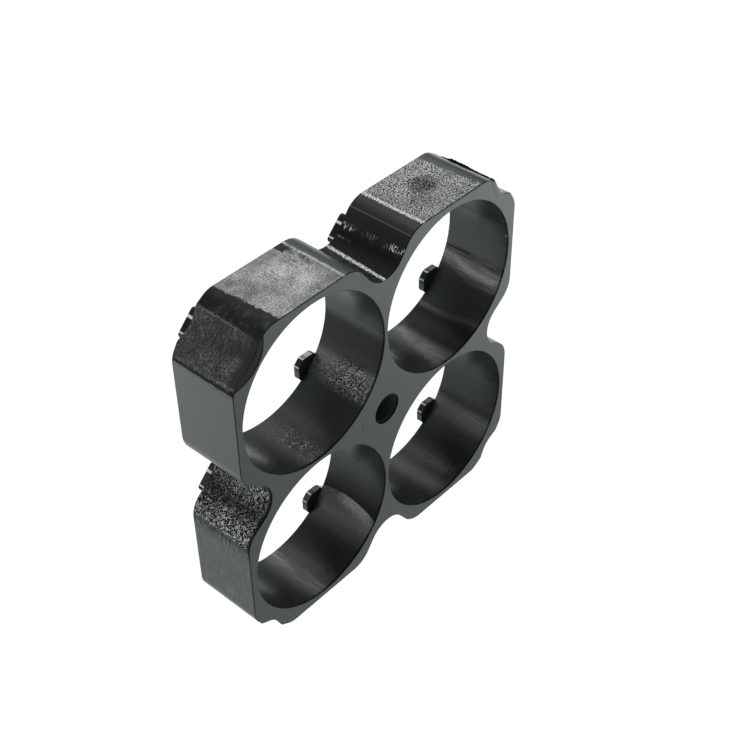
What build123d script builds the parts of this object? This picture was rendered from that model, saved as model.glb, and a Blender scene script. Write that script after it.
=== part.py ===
from build123d import *
from math import cos, radians, sin, sqrt, tan
import os

# A bracket that holds large cylindrical lithium cells side by side in a square.
# It is one black plastic moulding: a round bore for each cell, a scalloped rim round
# them, a screw hole in the middle, and stop tabs across the back of each bore.
# It stands on two of its rim flats. X runs to the right, Y from the front face to the
# back, Z up, and the origin is the screw hole's centre on the front face.

# Cells, and the body that their bores go through
cells_per_side = 2
cell_bore = 32.3  # diameter of each cell's bore
cell_web = 0.9  # wall between two neighbouring bores where it is thinnest
body_depth = 13.5  # front face to back face
screw_bore = 6.0  # diameter of the screw hole where four cells meet
edge_break = 0.15  # small chamfer along the front edges of the rim and the bores

# Rim flats, and the scallop between two cells
flat_wall = 1.35  # wall between a bore and the flat beside it
scallop_wall = 2.1  # wall between a bore and the flank of the scallop beside it
scallop_slope = 53.7  # angle between a scallop's flank and the flats, degrees
scallop_floor_round = 4.65
scallop_lip_round = 5.0

# Outer corners, each with a shallow groove across its diagonal
corner_wall = 2.45  # wall between a bore and the floor of its corner groove
corner_slope = 32.0  # angle between a corner's shoulder and the flats, degrees
corner_lead_round = 4.0
groove_width = 6.3  # between the groove's two crests
groove_slope = 20.0  # angle between a groove's flank and its floor, degrees
groove_floor_round = 4.0
groove_crest_round = 0.9

# Stop tabs on the back face, one across each diagonal of each bore
tabs_per_bore = 4
tab_thickness = 1.3
tab_width = 5.3
tab_reach = 2.55  # how far a tab's nose stands in over the bore
tab_nose_width = 1.75
tab_nose_round = 0.35
tab_shoulder_round = 1.0
tab_heel_round = 0.7
tab_edge_round = 0.2

# The square's sides are a quarter turn apart, its diagonals halfway between them
sides = 4
quarter_turn = 90
diagonal = quarter_turn / 2

bore_radius = cell_bore / 2
cell_pitch = cell_bore + cell_web
corner_cell = (cells_per_side - 1) * cell_pitch / 2  # from the middle to a corner cell's row
flat_reach = corner_cell + bore_radius + flat_wall  # from the middle to the flats


def on_diagonal(along, across):
    """A point along and across the outward diagonal of the upper right cell."""
    return Vector(corner_cell + (along + across) / sqrt(2), corner_cell + (along - across) / sqrt(2))


def mirrored(corners):
    """The same corners on the other side of the middle, in the order they come there."""
    return [(Vector(-corner.X, corner.Y), corner_round) for corner, corner_round in reversed(corners)]


# The groove across the upper right corner, and the shoulder that leads to the flat
groove_sharpening = groove_floor_round * (1 / cos(radians(groove_slope)) - 1)
groove_foot = bore_radius + corner_wall - groove_sharpening
crest_rise = groove_width / 2 * tan(radians(groove_slope))
groove_corner = on_diagonal(groove_foot, 0)
crest_corner = on_diagonal(groove_foot + crest_rise, -groove_width / 2)
lead_run = (flat_reach - crest_corner.Y) / tan(radians(corner_slope))
lead_corner = Vector(crest_corner.X - lead_run, flat_reach)

# A scallop's right flank runs past its bore at the wall's distance, from floor to lip
flank_run = cell_pitch / 2 * sin(radians(scallop_slope))
floor_height = corner_cell + (bore_radius + scallop_wall - flank_run) / cos(radians(scallop_slope))
floor_corner = Vector(0, floor_height)
lip_corner = Vector((flat_reach - floor_height) / tan(radians(scallop_slope)), flat_reach)


def top_side():
    """The top side's sharp corners and their rounds, from the right groove to the left crest."""
    shoulder = [(crest_corner, groove_crest_round), (lead_corner, corner_lead_round)]
    lip = [(lip_corner, scallop_lip_round)]
    scallop = lip + [(floor_corner, scallop_floor_round)] + mirrored(lip)
    first_scallop = corner_cell - cell_pitch / 2
    middles = [Vector(first_scallop - cell_pitch * gap, 0) for gap in range(cells_per_side - 1)]
    scallops = [(corner + middle, corner_round) for middle in middles for corner, corner_round in scallop]
    return [(groove_corner, groove_floor_round)] + shoulder + scallops + mirrored(shoulder)


# The whole rim is the top side, turned to each of the square's sides
rim_corners, rim_rounds = zip(*[
    (corner.rotate(Axis.Z, quarter_turn * side), corner_round)
    for side in range(sides)
    for corner, corner_round in top_side()
])

# One tab's outline, its nose towards the middle of a bore at the origin. Its flanks
# slope at 45 degrees from the nose to the shoulders, just inside the bore's wall.
nose = bore_radius - tab_reach
shoulder = nose + (tab_width - tab_nose_width) / 2
heel = bore_radius + corner_wall
tab_side = [
    (Vector(tab_nose_width / 2, nose), tab_nose_round),
    (Vector(tab_width / 2, shoulder), tab_shoulder_round),
    (Vector(tab_width / 2, heel), tab_heel_round),
]
tab_corners, tab_rounds = zip(*tab_side, *mirrored(tab_side))

with BuildSketch() as tab_outline:
    with BuildLine():
        FilletPolyline(*tab_corners, radius=tab_rounds, close=True)
    make_face()

with BuildPart() as holder:
    # The body is the rim's outline less the bores, with its front edges broken
    with BuildSketch(Plane.XZ):
        with BuildLine():
            FilletPolyline(*rim_corners, radius=rim_rounds, close=True)
        make_face()
        with GridLocations(cell_pitch, cell_pitch, cells_per_side, cells_per_side):
            Circle(bore_radius, mode=Mode.SUBTRACT)
    extrude(amount=-body_depth)
    front_face = holder.faces().sort_by(Axis.Y)[0]
    chamfer(front_face.edges(), edge_break)

    # A tab runs from its nose over the bore, across the wall, to the groove's floor
    with BuildSketch(Plane.XZ.offset(-body_depth)):
        with GridLocations(cell_pitch, cell_pitch, cells_per_side, cells_per_side):
            with PolarLocations(0, tabs_per_bore, start_angle=diagonal):
                add(tab_outline.sketch)
    extrude(amount=-tab_thickness)
    tab_backs = holder.faces().group_by(Axis.Y)[-1]
    fillet(tab_backs.edges(), tab_edge_round)

    # A screw hole goes right through wherever four cells meet
    with Locations(Plane.XZ):
        with GridLocations(cell_pitch, cell_pitch, cells_per_side - 1, cells_per_side - 1):
            Hole(screw_bore / 2)

holder.part.label = "cell_holder"
os.makedirs("parts", exist_ok=True)
export_step(holder.part, "parts/cell_holder.step")
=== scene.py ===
from math import cos, radians, sin

import bmesh
import bpy
from mathutils import Matrix, Vector, noise as mathnoise


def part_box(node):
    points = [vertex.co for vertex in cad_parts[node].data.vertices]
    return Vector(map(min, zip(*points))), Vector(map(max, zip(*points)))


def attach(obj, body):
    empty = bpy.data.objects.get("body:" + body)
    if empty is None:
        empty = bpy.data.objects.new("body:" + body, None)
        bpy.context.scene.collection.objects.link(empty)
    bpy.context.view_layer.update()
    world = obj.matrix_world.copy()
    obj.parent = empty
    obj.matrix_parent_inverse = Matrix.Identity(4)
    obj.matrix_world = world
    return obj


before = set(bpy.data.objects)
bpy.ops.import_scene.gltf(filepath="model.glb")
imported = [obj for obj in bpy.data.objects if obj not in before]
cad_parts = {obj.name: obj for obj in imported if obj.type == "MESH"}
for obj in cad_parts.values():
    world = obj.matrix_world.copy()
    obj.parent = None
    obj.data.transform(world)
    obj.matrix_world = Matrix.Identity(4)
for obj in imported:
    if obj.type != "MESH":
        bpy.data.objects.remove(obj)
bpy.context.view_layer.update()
scene = bpy.context.scene
scene.view_settings.view_transform = "Standard"

# The camera stands in front of the bracket, to its left and well above it, and looks
# down at the web between its cells. Its lens is a long one, so the bores stay nearly round.
camera_place = Vector((-0.132315, -0.117822, 0.161812))
camera_aim = Vector((-0.00288, 0.00007, 0.00958))
camera_lean = radians(-0.74)
camera_data = bpy.data.cameras.new("camera")
camera_data.lens = 66.52
camera_data.sensor_width = 36.0
camera_data.clip_start = 0.01
camera = bpy.data.objects.new("camera", camera_data)
scene.collection.objects.link(camera)
scene.camera = camera
look = (camera_aim - camera_place).to_track_quat("-Z", "Y").to_matrix().to_4x4()
camera.matrix_world = Matrix.Translation(camera_place) @ look @ Matrix.Rotation(camera_lean, 4, "Z")


# The holder is one black thermoplastic moulding, and its tool gave each face a finish of
# its own: satin on the front, spark-eroded on the upper flats, leather in the left groove,
# polished in the top scallop and turned in the bores.
class Signal:
    """A value on its way through a finish's nodes, so that sums can be written on it."""

    def __init__(self, socket):
        self.socket = socket

    def maths(self, operation, first, second=0.0):
        maths_node = self.socket.id_data.nodes.new("ShaderNodeMath")
        maths_node.operation = operation
        for slot, value in zip(maths_node.inputs, (first, second)):
            join(value, slot)
        return Signal(maths_node.outputs[0])

    def __add__(self, other):
        return self.maths("ADD", self, other)

    def __sub__(self, other):
        return self.maths("SUBTRACT", self, other)

    def __rsub__(self, other):
        return self.maths("SUBTRACT", other, self)

    def __mul__(self, other):
        return self.maths("MULTIPLY", self, other)

    def __pow__(self, other):
        return self.maths("POWER", self, other)

    def __abs__(self):
        return self.maths("ABSOLUTE", self)

    __radd__ = __add__
    __rmul__ = __mul__

    def capped(self):
        return self.maths("MINIMUM", self, 1.0)


def join(value, slot):
    """Link a signal to a socket, or set the socket to a plain value."""
    if isinstance(value, Signal):
        slot.id_data.links.new(value.socket, slot)
    else:
        slot.default_value = value


def distance(first, second):
    """The length of two offsets at right angles."""
    return (first ** 2.0 + second ** 2.0) ** 0.5


class Finish:
    """A procedural material and the nodes it is made of, measured in millimetres."""

    def __init__(self, name):
        self.material = bpy.data.materials.new(name)
        self.material.use_nodes = True
        self.tree = self.material.node_tree
        self.tree.nodes.clear()
        metres = self.node("ShaderNodeTexCoord", {}, {}, "Object")
        self.place = self.vector("SCALE", {0: metres, "Scale": 1000.0})

    def node(self, kind, settings, sockets, output=0):
        new = self.tree.nodes.new(kind)
        for setting, value in settings.items():
            setattr(new, setting, value)
        for slot, value in sockets.items():
            join(value, new.inputs[slot])
        return None if output is None else Signal(new.outputs[output])

    def vector(self, operation, sockets):
        return self.node("ShaderNodeVectorMath", {"operation": operation}, sockets)

    def axis(self, name):
        return self.node("ShaderNodeSeparateXYZ", {}, {0: self.place}, name)

    def fade(self, value, zero_at, one_at):
        """0 to 1 between two values of a signal, with soft ends."""
        sockets = {"Value": value, "From Min": zero_at, "From Max": one_at}
        return self.node("ShaderNodeMapRange", {"interpolation_type": "SMOOTHSTEP"}, sockets)

    def band(self, value, middle, half_width, soft):
        """1 near the middle value and 0 beyond the half width."""
        return self.fade(abs(value - middle), half_width + soft, half_width)

    def noise(self, scale, detail, roughness, distortion=0.0, stretch=(1.0, 1.0, 1.0)):
        sockets = {
            "Vector": self.vector("MULTIPLY", {0: self.place, 1: stretch}),
            "Scale": scale,
            "Detail": detail,
            "Roughness": roughness,
            "Distortion": distortion,
        }
        return self.node("ShaderNodeTexNoise", {"noise_dimensions": "3D"}, sockets)

    def blend(self, amount, first, second):
        """One colour over another."""
        sockets = {"Factor": amount, 6: first, 7: second}
        return self.node("ShaderNodeMix", {"data_type": "RGBA"}, sockets, 2)

    def bump(self, height):
        """Relief from a height in millimetres."""
        sockets = {"Strength": 1.0, "Distance": 0.001, "Height": height}
        return self.node("ShaderNodeBump", {}, sockets)

    def plastic(self, colour, roughness, relief, shine):
        """A Principled shader; its shine is its specular level."""
        sockets = {
            "Base Color": colour,
            "Roughness": roughness,
            "Normal": relief,
            "Specular IOR Level": shine,
        }
        return self.node("ShaderNodeBsdfPrincipled", {}, sockets)

    def finished(self, shader):
        self.node("ShaderNodeOutputMaterial", {}, {"Surface": shader}, None)
        return self.material


# Its sizes in millimetres, from the screw hole's centre on the front face
cell_middle = 16.6
bore_radius = 16.15
screw_hole_radius = 3.0
body_depth = 13.5
flat_height = 34.1
flat_start = 9.4
flat_end = 24.5
groove_half = 3.15
diagonal = cos(radians(45.0))
degrees_per_radian = 57.3

moulding = Finish("black_plastic")
fade, band, noise = moulding.fade, moulding.band, moulding.noise
x, y, z = (moulding.axis(name) for name in "XYZ")

# The tool's grains: the pits that sparks left, the turned rings and the polisher's drag
# marks. The broader ones are stains, and the finest break up every edge between finishes.
pitted = noise(4.4, 1.5, 0.6, 0.7)
fine_pitted = noise(6.0, 1.0, 0.5)
cloud = noise(0.22, 3.0, 0.6)
haze = noise(0.9, 3.0, 0.6)
patches = noise(0.55, 2.0, 0.5)
leather = noise(2.6, 2.0, 0.6, 1.2, stretch=(1.0, 2.4, 0.7))
drag = noise(2.6, 3.0, 0.65, stretch=(1.0, 0.05, 1.0))
rings = noise(2.2, 2.0, 0.6, stretch=(0.3, 3.0, 0.3))
fall = noise(3.2, 2.0, 0.6, stretch=(1.0, 1.0, 0.12))
grit = noise(4.2, 1.0, 0.7, 0.4)
ticks = noise(1.7, 1.0, 0.6, stretch=(0.7, 3.0, 0.7))
grit_crests = band(noise(2.3, 0.6, 0.5, 0.6), 0.5, 0.016, 0.03)
glints = band(noise(3.1, 0.6, 0.5, 0.6), 0.5, 0.012, 0.035)
ragged = (haze - 0.5) * 1.4 + (grit - 0.5) * 0.9

# Where each face is: the front, the bores, the tabs and the parts of the rim. Each
# quarter of the moulding has one bore, and angles in it are counted from its right side.
side_x, side_z = abs(x), abs(z)
left_hand = fade(x, 0.001, -0.001)
right_hand = 1.0 - left_hand
lower_half = fade(z, 0.001, -0.001)
upper_half = 1.0 - lower_half
upper_left, upper_right = left_hand * upper_half, right_hand * upper_half
lower_left, lower_right = left_hand * lower_half, right_hand * lower_half
bore_x = x + (left_hand * 2.0 - 1.0) * cell_middle
bore_z = z + (lower_half * 2.0 - 1.0) * cell_middle
from_axis = distance(bore_x, bore_z)
bore_turn = bore_z.maths("ARCTAN2", bore_z, bore_x) * degrees_per_radian
from_middle = distance(x, z)

on_front = fade(y, 0.08, 0.03)
on_back = fade(y, body_depth - 0.05, body_depth)
over_bore = fade(from_axis, bore_radius - 0.02, bore_radius - 0.1)
on_tab_front = over_bore * fade(y, body_depth - 0.1, body_depth - 0.03)
on_tab = fade(y, body_depth + 0.02, body_depth + 0.06)
tab = on_tab + on_tab_front * (1.0 - on_tab)
behind_front = 1.0 - on_front
in_bore = fade(from_axis, bore_radius + 0.17, bore_radius + 0.05) * behind_front * (1.0 - tab)
in_screw_hole = fade(from_middle, screw_hole_radius + 0.15, screw_hole_radius + 0.05) * behind_front
outside = fade(from_axis, bore_radius + 0.2, bore_radius + 0.3) * fade(from_middle, 5.0, 6.0)
on_rim = outside * behind_front * (1.0 - on_back)
top_side = fade(z - side_x, -0.2, 0.2) * on_rim
left_side = fade(x + side_z, 0.2, -0.2) * on_rim
fold = (side_x - side_z) * diagonal
in_groove = fade(abs(fold), groove_half + 0.15, groove_half - 0.1) * on_rim
in_top_scallop = top_side * fade(side_x, flat_start, flat_start - 0.2)
in_left_scallop = left_side * fade(z, 3.0, 2.0) * fade(z + ragged * 0.35, -8.6, -8.2)

# The upper flats were spark-eroded. They have worn pale on their peaks, most of all in
# the middle of the left one, and the right one has a dark blotch. Their ends are ragged.
left_lead = left_hand * (1.1 - y * 0.08)
right_lead = right_hand * (0.5 + y * 0.045)
past_end = side_x + ragged + left_lead + right_lead - flat_end
on_flat = fade(past_end, 0.25, -0.1) * fade(side_x, flat_start - 0.35, flat_start)
smooth_patch = band(x + ragged * 0.5, -10.7, 0.7, 0.3) * band(y + ragged * 0.5, 12.6, 0.9, 0.3)
eroded = fade(z, flat_height - 0.12, flat_height - 0.02) * on_flat * (1.0 - smooth_patch) * on_rim
worn_middle = fade(distance(x + 16.0, y - 6.0), 7.5, 1.0)
from_blotch = distance(x - 17.6, y - 7.5)
blotch = fade(from_blotch, 3.6, 0.6)
wear = 0.36 + worn_middle * 0.34 - blotch * 0.35 + (cloud - 0.5) * 1.3 + right_hand * 0.25
pit_depth = 0.45 + right_hand * 0.65 + (patches - 0.5) + blotch * 0.4
pits = fade(pitted - fade(from_blotch, 3.4, 0.8) * 0.06, 0.56, 0.44) * pit_depth
peaks = 1.0 - pits
smudges = fade(haze + fade(x, -12.5, -9.8) * 0.08, 0.57, 0.62) * left_hand * eroded
smudges = smudges * fade(x, -14.5, -11.5) * fade(y, 2.0, 9.0)

# Painted highlights: thin rough pale lines run from front to back where edges catch light. They
# cross the scallop's two lips, its floor and its right flank, and the left groove's near crest.
left_lip = band(x + ragged * 0.4, -9.5, 0.14, 0.25) * (0.35 + patches * 0.6)
right_lip = band(x + ragged * 0.3, 9.2, 0.24, 0.25)
lip_highlight = (left_lip + right_lip) * fade(z, 33.0, 33.5) * on_rim
from_back = body_depth - y
floor_highlight = band(x + from_back * 0.056 + ragged * 0.16, 0.45, 0.24, 0.25) * top_side
clusters = fade(y, 10.5, 12.0) + fade(y, 3.2, 2.2) + fade(patches, 0.5, 0.6) * 0.55
flank_highlight = band(x - from_back * 0.02 + ragged * 0.2, 4.1, 0.2, 0.3) * fade(ticks, 0.56, 0.62)
short_highlight = band(x + ragged * 0.2, 2.8, 0.08, 0.2) * fade(ticks, 0.5, 0.6) * fade(y, 9.5, 11.5)
thin_highlight = band(x, 6.23, 0.03, 0.12) * (0.5 + patches * 0.5)
crest_highlight = band(abs(fold), groove_half + 0.05, 0.12, 0.2) * left_hand * fade(y, 2.5, 5.0)
highlight_lines = sum([
    (lip_highlight + floor_highlight) * (0.25 + fade(grit, 0.42, 0.56) * 0.75),
    (flank_highlight * clusters * 0.8 + short_highlight * 0.4) * top_side,
    thin_highlight * top_side * 0.22,
    crest_highlight * top_side * fade(grit, 0.4, 0.6) * 0.3,
])

# The left groove has a leather grain, painted darker near the front as shade. The left scallop
# has a coarse grit, painted bright on its two lips and dimmer at its front edge and back as
# painted light and shade, with a random cloud in it. Below the scallop the grit runs out in dark
# streaks down the flat.
in_leather = fade(fold, -groove_half - 0.15, -groove_half + 0.1) * left_hand * on_rim
in_leather = in_leather * fade(z + ragged * 0.25, 25.75, 25.9)
# leather_light paints the grain darker near the front as shade, with a random cloud.
leather_light = fade(y, 0.8, 2.4) * (0.25 + fade(cloud, 0.35, 0.65) * 0.6)
leather_peaks = fade(leather, 0.48, 0.62) * in_leather * leather_light
# A ragged pale line on the upper left side is a painted highlight, with a painted shade line under
# it.
fringe_highlight = band(z + ragged * 0.6, 26.3, 0.15, 0.35) * left_side * 0.7
fringe_highlight = fringe_highlight * fade(grit, 0.5, 0.62) * fade(patches, 0.44, 0.56)
lip_painted_light = 0.3 + band(z, -6.6, 0.9, 1.6) * 0.6 + band(z, -1.0, 0.8, 2.2) * 0.4 + (cloud - 0.5) * 0.5
depth_painted_light = fade(y, 0.3, 0.9) * (0.65 + fade(y, 12.5, 7.0) * 0.45)
grit_peaks = grit_crests * in_left_scallop * lip_painted_light * depth_painted_light
dark_streaks = fade(z + ragged * 0.6, -7.9, -8.5) * fade(z, -12.0, -8.5) * left_side
dark_streaks = dark_streaks * fade(fall + (grit - 0.5) * 0.4, 0.58, 0.42)
streaked = left_side * lower_half * fade(z, -9.0, -9.6) * fade(fall, 0.45, 0.65)
scratch = band(y + ragged * 0.4, 6.0, 0.5, 0.4) * band(z, -22.5, 0.9, 0.3) * left_side
scratch = scratch * fade(grit, 0.5, 0.58)

# The stop tabs are glossy. A painted highlight runs down each corner of the nose and the heel,
# the nose and heel faces get painted shade, and one upward bevel of the upper left bore's inner
# tab is painted pale as lit.
tab_along = (abs(bore_x) + abs(bore_z)) * diagonal
tab_across = abs(abs(bore_x) - abs(bore_z)) * diagonal
nose_highlight = band(tab_across, 0.84, 0.08, 0.1) * fade(tab_along, 14.6, 14.2)
heel_side = (bore_x + bore_z) * -diagonal
heel_highlights = band(heel_side, -0.95, 0.2, 0.1) + band(heel_side, 1.85, 0.1, 0.1)
tab_highlight = (nose_highlight + heel_highlights * fade(tab_along, 18.2, 18.3)) * on_tab
heel_shade = fade(tab_along, 18.15, 18.25) * on_tab
nose_shade = fade(tab_along, 14.35, 14.15) * on_tab
lit_tab_bevel = band(x + z, 2.4, 0.9, 0.3) * on_tab * upper_left * fade(tab_along, 16.6, 16.2)


# Painted sheens: reflected light is painted along the bores in pale bands, each at its own
# angle. Some are drawn out in streaks, two in the upper left bore are painted as glints, and one
# ends in a clear arch.
def bore_band(quarter, turn, half_turn, soft):
    return band(bore_turn, turn, half_turn, soft) * quarter * in_bore


drawn = fade(drag, 0.44, 0.62)
blurred = fade(haze, 0.35, 0.65)
streak_turn = fade(y, 6.0, 13.5) * 6.0 - 29.0
faint_turn = fade(y, 8.0, 1.0) * 4.0 - 62.0
low_turn = y * 1.086 - 97.0
faint_light = (0.25 + drawn * 0.2) * (0.5 + fade(y, 6.5, 9.0) * 0.8)
nicks = bore_band(upper_right, 21.5, 0.4, 0.4) + bore_band(upper_right, 8.0, 0.6, 0.4)
past_arch = bore_turn + 30.4 + (y - 7.8) ** 2.0 * 0.09 + (haze - 0.5) * 2.0
arch = fade(past_arch, 0.4, -0.6) * fade(past_arch, -16.0, -3.0) * in_bore * lower_left
arch_middle = band(y, 5.0, 1.5, 4.0)
sheen_and_nicks = sum([
    bore_band(upper_right, streak_turn, 2.0, 7.0) * (0.35 + drawn * 0.7),
    bore_band(upper_right, faint_turn, 0.4, 2.6) * faint_light,
    bore_band(upper_right, low_turn, 1.5, 8.0) * (0.15 + blurred * 0.5),
    arch * (0.05 + fade(leather, 0.38, 0.62) * 0.5 + arch_middle * 0.5),
    bore_band(lower_left, -94.0, 2.0, 6.0) * (0.15 + drawn * 0.6),
    bore_band(lower_right, -33.0, 1.0, 5.0) * (0.3 + drawn * 0.3),
    nicks * fade(y, 0.9, 0.4),
])
streak_core = bore_band(upper_right, streak_turn, 0.5, 3.0) * fade(y, 13.5, 8.0)
arch_core = arch * fade(past_arch, -11.0, -2.0) * arch_middle
sheen_core = streak_core * fade(y, 0.4, 2.0) + arch_core * 1.6
glint_bands = bore_band(upper_left, -38.0, 4.0, 9.0) * 1.2
glint_bands = glint_bands + bore_band(upper_left, -91.0, 3.0, 8.0) * 0.6
glint_bands = glint_bands * (0.15 + band(y, 4.5, 1.5, 5.0) * 0.95)
glint_bands = glint_bands * (0.45 + fade(patches, 0.35, 0.6) * 0.6)

# A dark slit is painted on the front round the upper left groove, where the tool's insert
# stood proud: painted shade of the step there, not a cut, and the face inside it is painted
# darker as shade. Two hairline arcs run beside the top scallop, and a short one by the screw hole.
slit_radius = 6.5
from_slit = distance(x + 33.71, z - 32.72)
slit_half = fade(z, 24.8, 28.5) * fade(z, 31.5, 30.0) * 0.14 + 0.06
slit = fade(abs(from_slit - slit_radius) - slit_half, 0.1, 0.0)
shade_inside_slit = fade(from_slit, slit_radius, slit_radius - 0.15)
scallop_arc = band(distance(x - 7.93, z - 37.59), 14.84, 0.03, 0.08) * fade(z, 27.0, 28.5)
corner_arc = band(distance(x - 48.03, z - 39.2), 21.85, 0.03, 0.08) * fade(z, 28.8, 29.4)
hairline = band(x, -6.1, 0.03, 0.08) * band(z, -0.2, 0.7, 0.3)

# Painted shade: a dull, darker copy of the plastic is mixed in where shade or dark reflections
# fall, on edges and mouths, in pits and hollows, on tab faces and in bands along the bores.
rim_edge = band(y, 0.1, 0.04, 0.04) * on_rim * fade(from_slit, slit_radius, slit_radius + 0.1)
mouth_edge = fade(y + ragged * 0.12, 0.45, 0.22) * (in_bore + in_screw_hole)
left_shoulder = top_side * fade(past_end, -0.1, 0.2) * (1.0 - in_groove) * left_hand
right_flank = in_top_scallop * right_hand * (0.6 + fade(x, 4.5, 3.0) * 0.4)
left_of_floor = in_top_scallop * fade(x, 0.3, -0.2) * fade(x, -4.4, -3.9)
below_fringe = band(z + ragged * 0.55, 25.7, 0.2, 0.2) * left_side * upper_half
above_arch = fade(past_arch, -0.4, 0.8) * fade(past_arch, 22.0, 3.0) * in_bore * lower_left
shadow = sum([
    rim_edge * 0.75,
    mouth_edge * 0.85,
    in_screw_hole * 0.6,
    left_shoulder * 0.85,
    smooth_patch * top_side * 0.8,
    smudges * 0.55,
    right_flank,
    left_of_floor * 0.8,
    in_left_scallop * 0.92,
    dark_streaks * 0.85,
    in_leather * 0.7,
    below_fringe,
    heel_shade * 0.8,
    nose_shade * 0.5,
    (slit + shade_inside_slit * 0.85 + hairline * 0.8 + scallop_arc * 0.3 + corner_arc * 0.5) * on_front,
    eroded * pits * 0.8,
    glint_bands * (1.0 - glints) * 0.85,
    bore_band(upper_right, 22.0, 5.0, 3.0) * 0.3,
    bore_band(upper_right, -19.3, 0.8, 3.5) * (0.2 + drawn * 0.7),
    bore_band(upper_right, -73.0, 7.0, 7.0) * 0.75,
    bore_band(upper_left, -17.0, 9.0, 8.0) * 0.65,
    bore_band(upper_left, -91.0, 9.0, 9.0) * 0.3,
    above_arch * 0.6,
    bore_band(lower_left, -64.0, 13.0, 9.0) * 0.5,
    bore_band(lower_right, -70.0, 10.0, 10.0) * 0.5,
])
shadow = shadow.capped() * (1.0 - (highlight_lines + fringe_highlight + tab_highlight).capped())

# The plastic is nearly black. Wear, chalky grit and old streaks turn it grey in places, and
# painted highlights, sheens and glints turn it pale where light falls.
black = (0.0145, 0.0175, 0.018, 1.0)
shadow_black = (0.004, 0.0042, 0.0048, 1.0)
grey = (0.15, 0.152, 0.158, 1.0)
pale = (0.40, 0.405, 0.41, 1.0)
chalk = (0.80, 0.805, 0.81, 1.0)
satin_shine = 0.34
shade_shine = 0.05
shade_roughness = 0.6

# The upper left side is painted a little lighter as light, and the pale marks below are painted
# highlights.
lit_upper_left = left_side * upper_half * (1.0 - in_leather)
painted_highlights = highlight_lines + tab_highlight * 0.9 + lit_tab_bevel * (0.3 + grit * 0.6) + fringe_highlight * 0.5
colour = moulding.blend(eroded * peaks * wear, black, pale)
colour = moulding.blend(leather_peaks * 0.5 + lit_upper_left * 0.06, colour, grey)
colour = moulding.blend(sheen_and_nicks, colour, grey)
colour = moulding.blend(sheen_core * (0.12 + fade(pitted, 0.42, 0.58) * 0.6), colour, pale)
colour = moulding.blend(glint_bands * glints * 1.1, colour, chalk)
colour = moulding.blend(streaked * 0.26, colour, grey)
colour = moulding.blend(scratch * 0.5, colour, grey)
colour = moulding.blend(painted_highlights, colour, pale)
# The colour of the painted shade, with the grit and grain that show through it.
shaded_colour = moulding.blend(fade(haze, 0.5, 0.7) * top_side * left_hand * 0.1, shadow_black, grey)
shaded_colour = moulding.blend(in_screw_hole * fade(y, 0.3, 0.5) * 0.45, shaded_colour, grey)
shaded_colour = moulding.blend(grit_peaks, shaded_colour, chalk)
shaded_colour = moulding.blend(leather_peaks * 0.9, shaded_colour, grey)
roughness = sum([
    eroded * 0.14,
    in_leather * 0.10,
    tab * -0.14,
    in_bore * -0.08,
    highlight_lines * 0.2,
    (haze - 0.5) * 0.06,
    0.36,
])
relief = moulding.bump(sum([
    pitted * (eroded * 0.07 + in_left_scallop * 0.10),
    leather * in_leather * 0.12,
    (drag * 0.012 + rings * 0.004 + fine_pitted * 0.003) * in_bore,
    (haze * 0.012 + fine_pitted * 0.002) * on_front,
    highlight_lines * grit * 0.06,
    fall * left_side * 0.012,
]))
satin = moulding.plastic(colour, roughness, relief, satin_shine)
# The second shader is the painted shade, mixed in by the shadow mask.
shade_plastic = moulding.plastic(shaded_colour, shade_roughness, relief, shade_shine)
mixed = moulding.node("ShaderNodeMixShader", {}, {"Fac": shadow, 1: satin, 2: shade_plastic})

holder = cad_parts["cell_holder"]
holder.data.materials.clear()
holder.data.materials.append(moulding.finished(mixed))


# A sliver of moulding flash stands along the near crest of the upper right groove. It is
# a ragged film of the same plastic, half a millimetre high at most, that crept between the
# parts of the tool and was left on.
def ramp(past, run):
    """0 to 1 over a run."""
    return min(1.0, max(0.0, past / run))


def flash_height(along):
    """How much higher than its root the sliver stands, at a distance from the front."""
    root = 0.05 + 0.10 * ramp(10.8 - along, 0.5)
    crest = 0.2 * ramp(along - 4.0, 3.0) * ramp(10.4 - along, 0.8)
    waves = 0.10 * mathnoise.noise(Vector((along * 2.1, 3.7, 1.2)))
    teeth = 0.06 * mathnoise.noise(Vector((along * 6.3, 8.1, 0.4)))
    return root + crest + waves + teeth


flash_lean = radians(67.8)
flash_foot = Vector((0.02783, 0.0, 0.03268))
flash_length = 0.0118
flash_root = 0.0004
flash_thickness = 0.00008
flash_start = 0.01  # the gap between it and the front face, as a share of its length
flash_mesh = bmesh.new()
bmesh.ops.create_grid(flash_mesh, x_segments=80, y_segments=1, size=0.5)
bmesh.ops.translate(flash_mesh, verts=flash_mesh.verts, vec=(0.5 + flash_start, 0.0, 0.0))
bmesh.ops.scale(flash_mesh, verts=flash_mesh.verts, vec=(flash_length, flash_root, 1.0))
for vertex in flash_mesh.verts:
    if vertex.co.y > 0.0:
        lift = flash_height(vertex.co.x * 1000.0) / 1000.0
        bmesh.ops.translate(flash_mesh, verts=[vertex], vec=(0.0, lift, 0.0))
stood = Matrix((
    (0.0, cos(flash_lean), -sin(flash_lean)),
    (1.0, 0.0, 0.0),
    (0.0, sin(flash_lean), cos(flash_lean)),
)).to_4x4()
stood = Matrix.Translation(flash_foot) @ stood
bmesh.ops.transform(flash_mesh, verts=flash_mesh.verts, matrix=stood)
bmesh.ops.solidify(flash_mesh, geom=flash_mesh.faces[:], thickness=flash_thickness)
bmesh.ops.recalc_face_normals(flash_mesh, faces=flash_mesh.faces)
flash_data = bpy.data.meshes.new("moulding_flash")
flash_mesh.to_mesh(flash_data)
flash_mesh.free()
flash = bpy.data.objects.new("moulding_flash", flash_data)
scene.collection.objects.link(flash)

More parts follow.
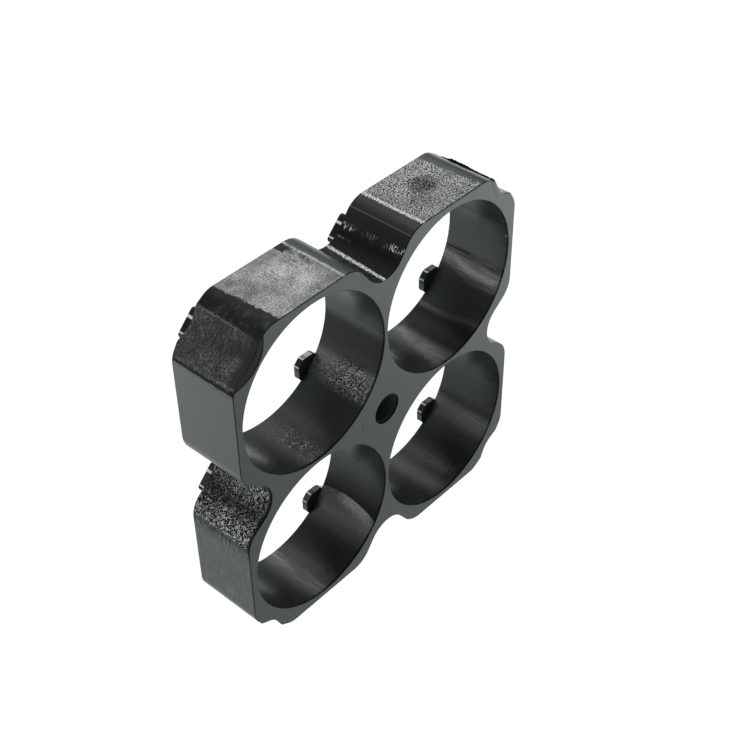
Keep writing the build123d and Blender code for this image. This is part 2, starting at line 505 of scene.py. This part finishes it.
flash_finish = Finish("flash_black")
mottle = flash_finish.noise(3.0, 2.0, 0.6)
flash_dark = (0.003, 0.003, 0.0035, 1.0)
flash_light = (0.010, 0.011, 0.012, 1.0)
flash_colour = flash_finish.blend(mottle * 0.5, flash_dark, flash_light)
flash_relief = flash_finish.bump(mottle * 0.03)
flash_shader = flash_finish.plastic(flash_colour, 0.5 + mottle * 0.2, flash_relief, 0.08)
flash_data.materials.append(flash_finish.finished(flash_shader))
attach(flash, "root")

# The floor is a light table: a plain white diffuser over lamps, on which the bracket just
# stands, so nothing casts a hard shadow. It glows brighter beyond the bracket's right
# front and left back.
table_half = 3.0
table_dim = (0.389, 0.4186, 0.4144, 1.0)
table_bright = (0.93, 1.0, 0.99, 1.0)
table_finish = Finish("table_white")
right_front = table_finish.axis("X") - table_finish.axis("Y")
glow_front = table_finish.fade(right_front, 30.0, 170.0)
glow_back = table_finish.fade(right_front, -60.0, -160.0) * 0.4
table_glow = table_finish.blend(glow_front + glow_back, table_dim, table_bright)
table_light = table_finish.node("ShaderNodeEmission", {}, {"Color": table_glow, "Strength": 2.58})
table_mesh = bmesh.new()
bmesh.ops.create_grid(table_mesh, x_segments=1, y_segments=1, size=table_half)
table_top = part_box("cell_holder")[0].z
bmesh.ops.translate(table_mesh, verts=table_mesh.verts, vec=(0.0, 0.0, table_top))
table_data = bpy.data.meshes.new("light_table")
table_mesh.to_mesh(table_data)
table_mesh.free()
table = bpy.data.objects.new("light_table", table_data)
scene.collection.objects.link(table)
table_data.materials.append(table_finish.finished(table_light))

# The room round the table is dim and a little cool. Two large softboxes hang in it, one
# above the bracket and one behind. A small one stands low behind the bracket's left side
# and shines through the bores.
world = bpy.data.worlds.new("studio")
scene.world = world
world.use_nodes = True
room = world.node_tree.nodes["Background"]
room.inputs["Color"].default_value = (0.95, 1.0, 1.0, 1.0)
room.inputs["Strength"].default_value = 0.27


def softbox(name, place, aim, size, power):
    """A square lamp at a place, turned to face a point, both in metres."""
    data = bpy.data.lights.new(name, "AREA")
    data.shape = "SQUARE"
    data.size = size
    data.energy = power
    lamp = bpy.data.objects.new(name, data)
    lamp.visible_camera = False
    facing = (Vector(aim) - Vector(place)).to_track_quat("-Z", "Y").to_matrix().to_4x4()
    lamp.matrix_world = Matrix.Translation(place) @ facing
    scene.collection.objects.link(lamp)


softbox("softbox_above", (0.08, 0.06, 0.55), (0.0, 0.0, 0.03), 0.3, 4.5)
softbox("softbox_back", (0.32, 0.35, 0.37), (0.0, 0.0, 0.0), 0.25, 0.35)
softbox("softbox_gap", (-0.060, 0.047, 0.020), (0.01, 0.005, 0.0), 0.028, 0.008)
